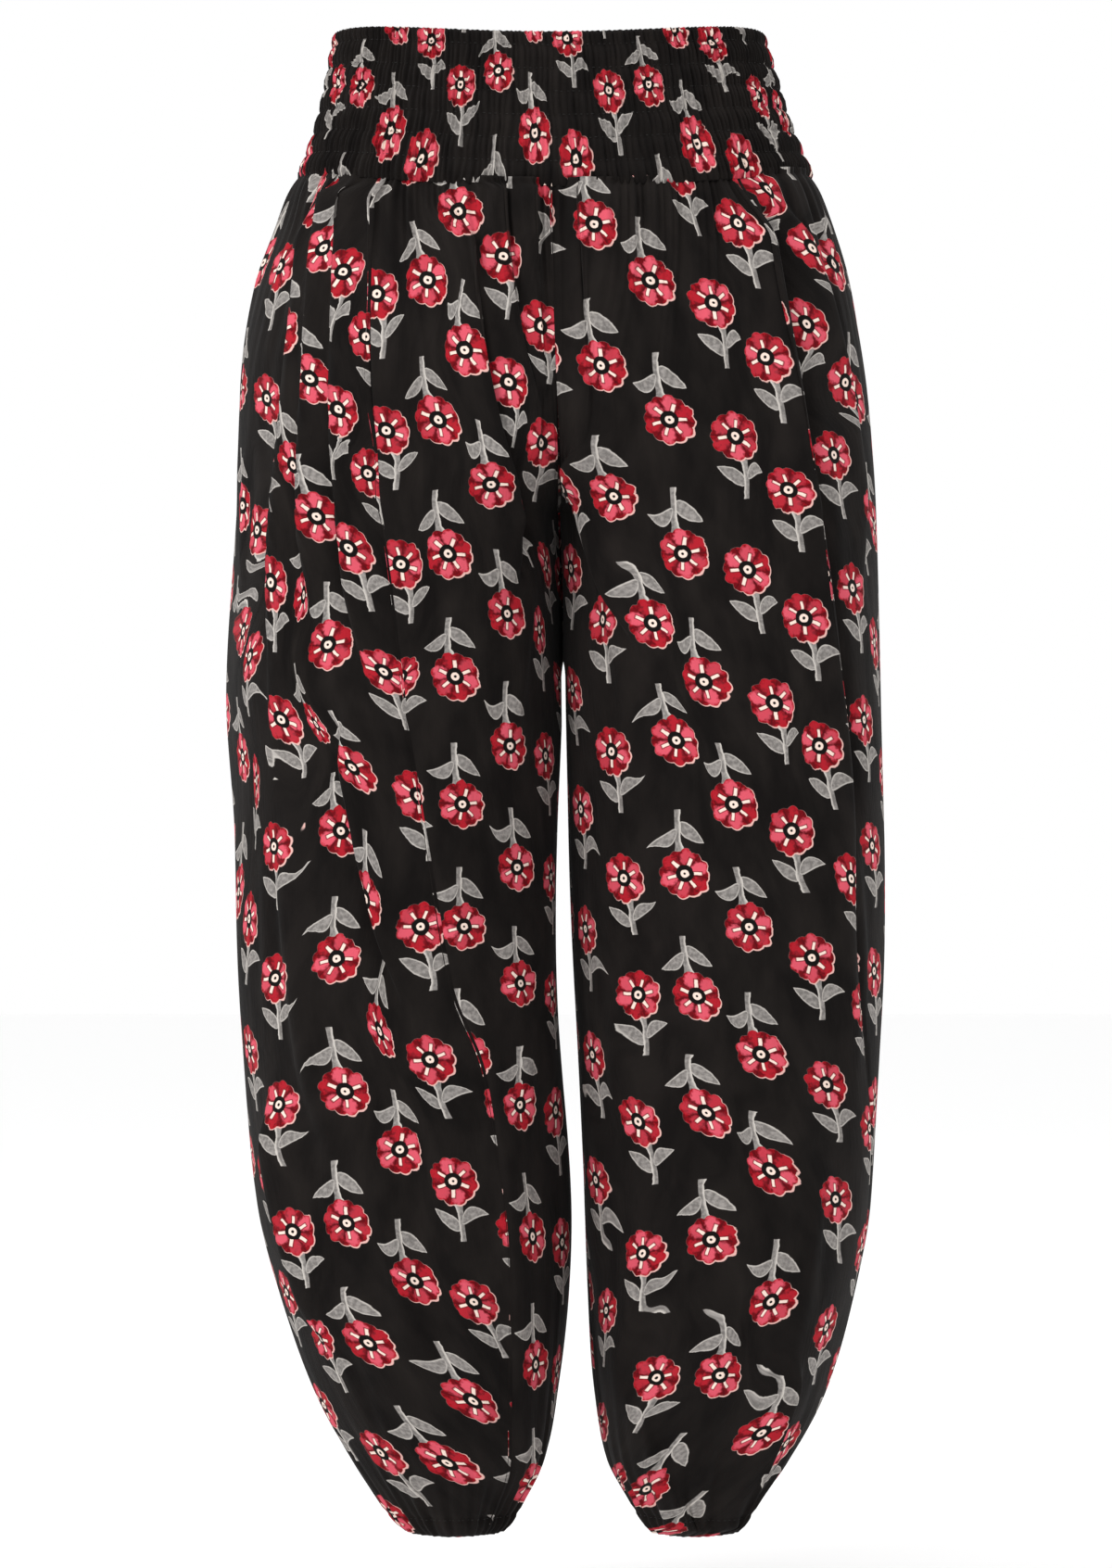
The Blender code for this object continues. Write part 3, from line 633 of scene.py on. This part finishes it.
def flowerTree():
    tree, given, made = newTree(
        "flower block", "ShaderNodeTree",
        {"Across": 0.0, "Down": 0.0, "Turn": 0.0, "Seed": 0.0, "Upright": 1.0},
        {"Color": "Color", "Mask": "Float"})
    seed = given["Seed"]
    wobble = noiseAt(tree, given["Across"], given["Down"], seed, scale=0.22) - 0.5
    x, y = given["Across"] + wobble * 1.2, given["Down"] + wobble * -1.0
    fine = noiseAt(tree, given["Across"], given["Down"], seed + 5.0, scale=0.42, detail=3.0)
    petals, pitch = bloom["petals"], 2 * math.pi / bloom["petals"]

    def within(distance, blur=0.4):
        return distance.do("MULTIPLY_ADD", 1 / blur, 0.5, clamp=True)

    # the scalloped edge, and the pale rim that shows past it on one side
    away = (x * x + y * y).do("SQRT")
    around = x.do("ARCTAN2", -y) + given["Turn"]
    edge = (around * petals).cos() * bloom["sway"] + (around * petals + 0.4).cos().abs() * bloom["scallop"]
    edge = edge + wobble * 2.0 + bloom["radius"]
    rimX, rimY = x - given["Upright"] * bloom["rimAcross"], y - given["Upright"] * bloom["rimDown"]
    rim = within(edge + bloom["rim"] - (rimX * rimX + rimY * rimY).do("SQRT"))
    flower = within(edge - away)

    # a pink lobe in each petal, stronger in some, and a dark line between petals
    petal = (around * (1 / pitch)).wrapped(-0.5, 0.5) * pitch
    which = (around * (1 / pitch) + 0.5).do("FLOOR")
    sideways, onward = away * petal.sin(), away * petal.cos() - bloom["lobeAt"]
    lobe = (sideways * sideways * 1.2 + onward * onward * 0.75).do("SQRT")
    strength = (which * 2.1 + seed).sin().over(-0.7, 0.5) * 0.9 + 0.08
    pinkness = (-lobe + (fine - 0.5) * 5.0).over(*bloom["lobeFades"]) * strength
    shade = (fine + (around * petals).cos() * 0.16).over(0.36, 0.58)
    between = ((around * (1 / pitch) + 0.5).wrapped(-0.5, 0.5) * pitch).sin() * away

    # the strokes round the eye lean to one side
    lean = (around + 0.17).sin() * -0.14 + 0.21
    spoke = ((around - lean) * (1 / pitch)).wrapped(-0.5, 0.5) * pitch
    along, beside = away * spoke.cos(), (away * spoke.sin()).abs()

    def stroke(halfWidth, start, end):
        return within(-beside + halfWidth) * within(along - start, 0.6) * within(-along + end, 0.8)

    flare = y.over(bloom["flareFrom"], bloom["flareTo"])
    stemHalf = flare * flare * bloom["flareHalf"] + bloom["stemHalf"] + wobble
    stemAt = flare * bloom["flareAt"] + bloom["stemAt"]
    stem = within(stemHalf - (x - stemAt).abs())
    stem = green = stem * within(-y + bloom["stemEnd"]) * within(y - bloom["stemTop"])
    leafRim = (x - stemAt).do("DIVIDE", stemHalf).over(-0.1, -0.8) * stem
    for (baseX, baseY), (tipX, tipY), bend, width in bloom["leaves"]:
        length = math.hypot(tipX - baseX, tipY - baseY)
        alongX, alongY = (tipX - baseX) / length, (tipY - baseY) / length
        leafX, leafY = x - baseX, y - baseY
        share = (leafX * alongX + leafY * alongY) * (1 / length)
        arch = (share * (-share + 1.0) * 4.0).do("MAXIMUM", 0.0)
        side = (leafX * -alongY + leafY * alongX) - arch * bend
        rise, fall = share.do("MAXIMUM", 0.0), (-share + 1.0).do("MAXIMUM", 0.0)
        inside = rise.do("POWER", 0.55) * fall.do("POWER", 0.8) * (2.55 * width) - side.abs() - 0.2
        leaf = within(inside)
        green = green.do("MAXIMUM", leaf)
        leafRim = leafRim.do("MAXIMUM", leaf * inside.over(1.2, 0.4) * 0.7)

    colour = mixed(tree, fine.over(0.38, 0.66), dyes["grey"], dyes["greyLight"])
    colour = mixed(tree, leafRim, colour, dyes["greyEdge"])
    colour = mixed(tree, rim, colour, dyes["rim"])
    reds = mixed(tree, pinkness, mixed(tree, shade, dyes["darkRed"], dyes["red"]), dyes["pink"])
    reds = mixed(tree, within(-between.abs() + bloom["seamHalf"], 1.0) * 0.6, reds, dyes["dark"])
    colour = mixed(tree, flower, colour, reds)
    colour = mixed(tree, stroke(*bloom["shadeStroke"]) * 0.8, colour, dyes["darkRed"])
    colour = mixed(tree, stroke(*bloom["creamStroke"]), colour, dyes["cream"])
    for radius, tone in bloom["rings"]:
        colour = mixed(tree, within(-away + radius + wobble), colour, dyes[tone])
    tree.links.new(colour, made.inputs["Color"])
    tree.links.new(green.do("MAXIMUM", rim).do("MAXIMUM", flower).socket, made.inputs["Mask"])
    return tree


weave = {"pitch": 0.62, "threads": 0.05, "streaks": 0.6, "rumple": 2.6}


# the cloth's own measure in metres goes in; its colour and the height of its weave come out
def clothTree():
    tree, given, made = newTree("printed cloth", "ShaderNodeTree", {"Cloth": (0, 0, 0)},
                                {"Color": "Color", "Height": "Float"})
    split = addNode(tree, "ShaderNodeSeparateXYZ", {0: given["Cloth"]})
    u, v = Number(tree, split.outputs[0]) * 1000.0, Number(tree, split.outputs[1]) * 1000.0
    drift = noiseAt(tree, u, v, 0.0, scale=0.018, detail=1.0) - 0.5
    wear = noiseAt(tree, u * 0.4, v * 0.2, 3.0, scale=0.12, detail=3.0)
    colour = mixed(tree, wear.over(0.35, 0.75), dyes["ground"], dyes["groundWorn"])
    flowers = flowerTree()
    for number in (0, 1):
        column = u - block["column"] * number
        down = v - block["startDrops"][1] * number
        cell = (column * (0.5 / block["column"]) + 0.5).do("FLOOR")
        upright = cell.wrapped(0.0, 2.0).do("ROUND").wrapped(0.0, 2.0)
        sign = upright * 2.0 - 1.0
        x = (column - cell * (2 * block["column"])) * sign + drift * 3.0
        turned = (down - upright * block["startDrops"][2]) * sign
        y = turned.wrapped(-block["above"], block["repeat"] - block["above"])
        # each impression has a seed of its own, and is turned a little
        seed = ((turned - y) * 0.37 + cell * 3.1 + number * 1.7).sin() * 9.0
        turn = (seed * 1.9).sin() * 0.24
        motif = addNode(tree, "ShaderNodeGroup", node_tree=flowers)
        for name, value in (("Across", x), ("Down", y), ("Turn", turn), ("Seed", seed), ("Upright", sign)):
            feed(tree, motif.inputs[name], value)
        colour = mixed(tree, motif.outputs["Mask"], colour, motif.outputs["Color"])
    turns = 2 * math.pi / weave["pitch"]
    threads = (u * turns).sin() * (v * turns).sin()
    streaks = noiseAt(tree, u, v * 0.09, 7.0, scale=0.42, detail=3.0) - 0.5
    rumple = noiseAt(tree, u, v * 0.45, 11.0, scale=0.05, detail=3.0) - 0.5
    height = threads * weave["threads"] + streaks * weave["streaks"] + rumple * weave["rumple"]
    tree.links.new(colour, made.inputs["Color"])
    tree.links.new(height.socket, made.inputs["Height"])
    return tree


clothGroup = clothTree()


# printed is the share of the print that shows through: all of it outside, a little inside
def cottonMaterial(name, printed, rough, bump):
    material = bpy.data.materials.new(name)
    material.use_nodes = True
    tree = material.node_tree
    shader = tree.nodes["Principled BSDF"]
    where = addNode(tree, "ShaderNodeUVMap", uv_map="cloth")
    group = addNode(tree, "ShaderNodeGroup", node_tree=clothGroup)
    tree.links.new(where.outputs[0], group.inputs["Cloth"])
    colour = mixed(tree, printed, dyes["groundWorn"], group.outputs["Color"])
    tree.links.new(colour, shader.inputs["Base Color"])
    height = group.outputs["Height"]
    raised = addNode(tree, "ShaderNodeBump", {"Strength": bump, "Distance": mm, "Height": height})
    tree.links.new(raised.outputs[0], shader.inputs["Normal"])
    for finish, value in {"Roughness": rough, "Specular IOR Level": 0.08, "Sheen Weight": 0.02,
                          "Sheen Roughness": 0.5}.items():
        shader.inputs[finish].default_value = value
    return material


printedCotton = cottonMaterial("printed cotton", printed=1.0, rough=0.86, bump=0.6)
cottonInside = cottonMaterial("printed cotton inside", printed=0.25, rough=0.92, bump=0.6)
shirredCotton = cottonMaterial("shirred cotton", printed=1.0, rough=0.86, bump=0.8)
shirredInside = cottonMaterial("shirred cotton inside", printed=0.25, rough=0.92, bump=0.8)


def plainMaterial(name, colour, rough=0.5):
    material = bpy.data.materials.new(name)
    material.use_nodes = True
    shader = material.node_tree.nodes["Principled BSDF"]
    shader.inputs["Base Color"].default_value = colour
    shader.inputs["Roughness"].default_value = rough
    return material


# the four leg panels; the rows of points lie closer near the waist seam and the hem
rowSpans = (
    (body["seamDrop"] - cloth["topTuck"], body["seamDrop"], 4), (body["seamDrop"], 150, 34),
    (150, 880, 220), (880, body["hemDrop"], 40),
)
rowDrops = np.concatenate([*(np.linspace(*span)[:-1] for span in rowSpans), [body["hemDrop"]]])
turnings = cloth["seamAllowance"] / cloth["panelWidth"]
panels, casings = {}, {}
for leg, face in folds:
    name = f"leg_{face}_{'left' if leg == left else 'right'}"
    shares = np.linspace(-turnings, 1 + turnings, cloth["panelColumns"])
    if (leg == left) == (face == "front"):
        shares = shares[::-1]
    points, smooth, hidden = layPanel(leg, face, shares, rowDrops)

    # the print's own measure along each row, from the side seam; on the back, half from straight behind
    arc = arcAlong(smooth)
    seamColumn = np.argmin(np.abs(shares - 1))
    anchor = arc[:, seamColumn]
    if face == "back":
        angles = angleAcross(leg, face, shares[None], np.maximum(rowDrops, body["seamDrop"])[:, None])
        behind = np.exp(-(((angles - 1.5 * np.pi) / cloth["behindTurn"]) ** 2))
        anchor = (anchor + (arc * behind).sum(axis=1) / behind.sum(axis=1)) / 2
    baseU = arc - anchor[:, None] + hidden - hidden[:, [seamColumn]]
    # and down the panel, without what the rows move sideways
    fall, sideways = np.diff(smooth, axis=0), np.gradient(smooth, axis=1)[1:]
    sideways /= np.linalg.norm(sideways, axis=-1)[..., None]
    fall -= (fall * sideways).sum(axis=-1)[..., None] * sideways
    fall = np.linalg.norm(fall, axis=-1).mean(axis=1)
    longer = np.concatenate([[0.0], np.cumsum(fall)]) + smooth[:, :, 2].mean(axis=1)
    baseV = longer[:, None] - smooth[..., 2]
    reach = charting["reachFar" if name == "leg_back_right" else "reachAcross"]
    moves, found = chartPrint(baseU, baseV, points, charts[name], reach)
    uv = np.stack([baseU, baseV], axis=-1) + moves
    casings[name] = points[np.argmin(np.abs(rowDrops - body["hemDrop"] + cloth["hemCasing"]))]
    panels[name] = addPiece(name.replace("leg", "panel"), meshFrom(name, points, uv), printedCotton)
    thicken(panels[name], cloth["thickness"], cottonInside)
    print("panel", name, points.shape, "print moved by", np.round(found[:, 2:].std(axis=0), 1))

# the waistband: rows of elastic, the last at the waist seam, draw it into fine upright gathers
band = {
    "columns": 1600, "thickness": 1.4, "height": 98.0, "overlap": 1.0,
    "edgeRows": (0.0, 2.0, 5.0), "rowParts": (0.0, 0.17, 0.5, 0.83),  # where its rows of points lie
    "firstRow": 8.4, "elasticRows": 7, "gathers": 250.0, "depth": 1.0, "puff": 1.5, "seed": 4.0,
    "clothRound": 8 * 4 * block["column"], "clothDown": 1.097, "printSlip": 0.9,
}
rowGap = (band["height"] - band["firstRow"]) / (band["elasticRows"] - 1)


def gatherTree():
    tree, given, made = newTree(
        "shirring", "GeometryNodeTree",
        {"Geometry": "Geometry", "Gathers": 250.0, "Depth": 1.0, "Puff": 1.0, "First Row": 8.0,
         "Row Gap": 15.0, "Height": 98.0, "Print Slip": 1.0, "Seed": 0.0, "Material": "Material"},
        {"Geometry": "Geometry"})

    def stored(name, kind="FLOAT"):
        return addNode(tree, "GeometryNodeInputNamedAttribute", {"Name": name}, data_type=kind).outputs[0]

    share, down = Number(tree, stored("share")), Number(tree, stored("down"))
    place = addNode(tree, "ShaderNodeSeparateXYZ", {0: addNode(tree, "GeometryNodeInputPosition").outputs[0]})
    x, y, z = (Number(tree, place.outputs[axis]) * 1000.0 for axis in range(3))
    rowAt = (down - given["First Row"]).do("DIVIDE", given["Row Gap"])
    channel = rowAt.do("FLOOR")
    offRow = (rowAt - rowAt.do("ROUND")) * given["Row Gap"]
    pinch = (offRow * offRow * -0.16).do("EXPONENT")  # 1 at a row of elastic, 0 between two
    free = -pinch + 1.0
    wander = (noiseAt(tree, x, y, z * 0.25 + given["Seed"], scale=0.055) - 0.5) * 16.0
    wander = wander + (channel * 2.3 + given["Seed"]).sin() * free * 1.1
    phase = share * given["Gathers"] * (2 * math.pi) + wander
    uneven = noiseAt(tree, x, y, z * 0.5 + 40.0, scale=0.16) + 0.5
    ridge = (phase.cos() + (phase * 0.5 + 1.0).cos() * 0.5) * given["Depth"] * uneven * (free * 0.45 + 0.55)
    # its top and its lower edge turn in
    turnIn = (down * -0.5).do("EXPONENT") * 1.2 + ((down - given["Height"]) * 0.4).do("EXPONENT") * 1.6
    lift = (ridge + (free - 0.5) * given["Puff"] - turnIn) * mm
    normal = addNode(tree, "GeometryNodeInputNormal").outputs[0]
    offset = addNode(tree, "ShaderNodeVectorMath", {0: normal, 3: lift}, operation="SCALE").outputs[0]
    moved = addNode(tree, "GeometryNodeSetPosition", {"Geometry": given["Geometry"], "Offset": offset})
    slip = addNode(tree, "ShaderNodeCombineXYZ", {"X": phase.sin() * given["Print Slip"] * free * mm})
    cloth = addNode(tree, "ShaderNodeVectorMath", {0: stored("cloth", "FLOAT_VECTOR"), 1: slip.outputs[0]})
    kept = addNode(tree, "GeometryNodeStoreNamedAttribute",
                   {"Geometry": moved.outputs[0], "Name": "cloth", "Value": cloth.outputs[0]},
                   data_type="FLOAT2", domain="CORNER")
    return finishTree(tree, kept.outputs[0], given["Material"], made)


# runs a tree on a piece and keeps the result as a plain mesh
def growMesh(piece, tree, values):
    modifier = piece.modifiers.new("nodes", "NODES")
    modifier.node_group = tree
    for item in tree.interface.items_tree:
        if item.item_type == "SOCKET" and item.in_out == "INPUT" and item.name in values:
            modifier[item.identifier] = values[item.name]
    seen = piece.evaluated_get(bpy.context.evaluated_depsgraph_get())
    grown = bpy.data.meshes.new_from_object(seen)
    piece.modifiers.remove(modifier)
    piece.data = grown


# the plain form right round both legs, where the waistband lies
def bandCloth(angle, drop):
    onLeft = np.cos(angle) > 0
    return np.where(onLeft[..., None], plainCloth(left, np.pi - angle, drop), plainCloth(right, angle, drop))


downs = [band["firstRow"] + rowGap * (row + part) for row in range(band["elasticRows"] - 1)
         for part in band["rowParts"]]
downs = np.array([*band["edgeRows"], *downs, band["height"], band["height"] + band["overlap"]])
share, down = np.meshgrid(np.arange(band["columns"]) / band["columns"], downs)
angle = (share - 0.25) * 2 * np.pi
top = -body["waistRise"] * np.cos(angle) ** 2
drop = top + (seamDropAt(angle) - top) * down / band["height"]
bandPoints = bandCloth(angle, drop)
arc = arcAlong(np.concatenate([bandPoints, bandPoints[:, :1]], axis=1))
baseU = arc[:, :-1] / arc[:, -1:] * band["clothRound"]
baseU -= baseU[:, [band["columns"] // 2]]
baseV = drop * band["clothDown"]
moves, found = chartPrint(baseU, baseV, bandPoints, charts["waistband"])
uv = np.stack([baseU, baseV], axis=-1) + moves
bandMesh = meshFrom("waistband", bandPoints, uv, closed=True, roundU=band["clothRound"],
                    share=share, down=down)
waistband = addPiece("shirred_waistband", bandMesh, shirredCotton)
growMesh(waistband, gatherTree(), {
    "Gathers": band["gathers"], "Depth": band["depth"], "Puff": band["puff"], "First Row": band["firstRow"],
    "Row Gap": rowGap, "Height": band["height"], "Print Slip": band["printSlip"], "Seed": band["seed"],
    "Material": shirredCotton})
grownBand = np.empty(len(waistband.data.vertices) * 3)
waistband.data.vertices.foreach_get("co", grownBand)
grownBand = grownBand.reshape(*bandPoints.shape) / mm
thicken(waistband, band["thickness"], shirredInside)
print("waistband", bandPoints.shape, "print moved by", np.round(found[:, 2:].std(axis=0), 1))

# rows of stitches: along the elastic rows of the band and the casing at each ankle
stitches = {"length": 2.7, "gap": 1.1, "thickness": 0.42, "everyPoint": 4}
blackThread = plainMaterial("black thread", dyes["ground"], rough=0.6)


def stitchTree():
    tree, given, made = newTree(
        "row of stitches", "GeometryNodeTree",
        {"Geometry": "Geometry", "Length": 2.7, "Gap": 1.0, "Thickness": 0.4, "Material": "Material"},
        {"Geometry": "Geometry"})
    line = addNode(tree, "GeometryNodeMeshToCurve", {"Mesh": given["Geometry"]})
    spaced = addNode(tree, "GeometryNodeResampleCurve",
                     {"Curve": line.outputs[0], 3: (given["Length"] + given["Gap"]) * mm}, mode="LENGTH")
    tangent = addNode(tree, "GeometryNodeInputTangent").outputs[0]
    facing = addNode(tree, "FunctionNodeAlignRotationToVector", {"Vector": tangent}, axis="X")
    stitch = addNode(tree, "GeometryNodeMeshIcoSphere", {"Radius": 0.5, "Subdivisions": 1})
    smooth = addNode(tree, "GeometryNodeSetShadeSmooth", {"Geometry": stitch.outputs[0]})
    size = addNode(tree, "ShaderNodeCombineXYZ", {
        "X": given["Length"] * mm, "Y": given["Thickness"] * mm, "Z": given["Thickness"] * mm})
    placed = addNode(tree, "GeometryNodeInstanceOnPoints", {
        "Points": spaced.outputs[0], "Instance": smooth.outputs[0],
        "Rotation": facing.outputs[0], "Scale": size.outputs[0]})
    return finishTree(tree, placed.outputs[0], given["Material"], made)


def stitchPiece(name, lines):
    mesh = bpy.data.meshes.new(name)
    points, edges = [], []
    for line, closed in lines:
        first = len(points)
        points += (line * mm).tolist()
        edges += [(first + i, first + i + 1) for i in range(len(line) - 1)]
        if closed:
            edges.append((first + len(line) - 1, first))
    mesh.from_pydata(points, edges, [])
    piece = addPiece(name, mesh, blackThread)
    growMesh(piece, stitching, {"Length": stitches["length"], "Gap": stitches["gap"],
                                "Thickness": stitches["thickness"], "Material": blackThread})
    print("stitches", name, len(piece.data.polygons), "faces")
    return piece


stitching = stitchTree()
elasticDowns = band["firstRow"] + rowGap * np.arange(band["elasticRows"] - 1)
bandLines = [(grownBand[np.argmin(np.abs(downs - elastic)), ::stitches["everyPoint"]], True)
             for elastic in elasticDowns]
bandStitches = stitchPiece("waistband_stitches", bandLines)
cuffStitches = {name: stitchPiece(name.replace("leg", "cuff_stitches"), [(casing, False)])
                for name, casing in casings.items()}

# the floor and the lights, in metres and watts, then the camera
studio = {
    "floorHalf": 9.0, "floorHeight": -1.03, "floorColour": (0.97, 0.97, 0.97, 1), "lightsAt": (0, 0, -0.47),
    "lights": (("key light", (-2.2, -2.6, 1.4), 1.6, 58), ("top light", (0.3, -0.4, 2.6), 2.0, 22)),
    "sky": 1.0,
}
half, level = studio["floorHalf"], studio["floorHeight"]
floorPoints = np.array([[(x, y, level) for x in (-half, half)] for y in (half, -half)]) / mm
stage = addPiece("studio_floor", meshFrom("studio_floor", floorPoints),
                 plainMaterial("studio floor", studio["floorColour"]))


# sets up a lamp or the camera
def standAt(name, thing, at, turned):
    piece = bpy.data.objects.new(name, thing)
    piece.location, piece.rotation_euler = at, turned
    bpy.context.scene.collection.objects.link(piece)
    return piece


for name, at, size, power in studio["lights"]:
    lamp = bpy.data.lights.new(name, "AREA")
    lamp.shape, lamp.size, lamp.energy = "SQUARE", size, power
    standAt(name, lamp, at, (Vector(studio["lightsAt"]) - Vector(at)).to_track_quat("-Z", "Y").to_euler())
world = bpy.data.worlds.new("studio")
world.use_nodes = True
world.node_tree.nodes["Background"].inputs["Color"].default_value = (1, 1, 1, 1)
world.node_tree.nodes["Background"].inputs["Strength"].default_value = studio["sky"]
lens = bpy.data.cameras.new("camera")
lens.lens, lens.sensor_width = camera["lens"], camera["sensor"]
viewpoint = standAt("camera", lens, (0, -camera["distance"] * mm, -camera["drop"] * mm), (math.pi / 2, 0, 0))
bpy.context.scene.world, bpy.context.scene.camera = world, viewpoint
bpy.context.scene.view_settings.view_transform = "Standard"

# each piece hangs from the root, and the CAD part that it stands for is hidden
for name, piece in [*panels.items(), ("waistband", waistband)]:
    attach(piece, "root")
    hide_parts(name)
    "shirred_cotton" if name == "waistband" else "printed_cotton"
for piece in (bandStitches, *cuffStitches.values()):
    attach(piece, "root")
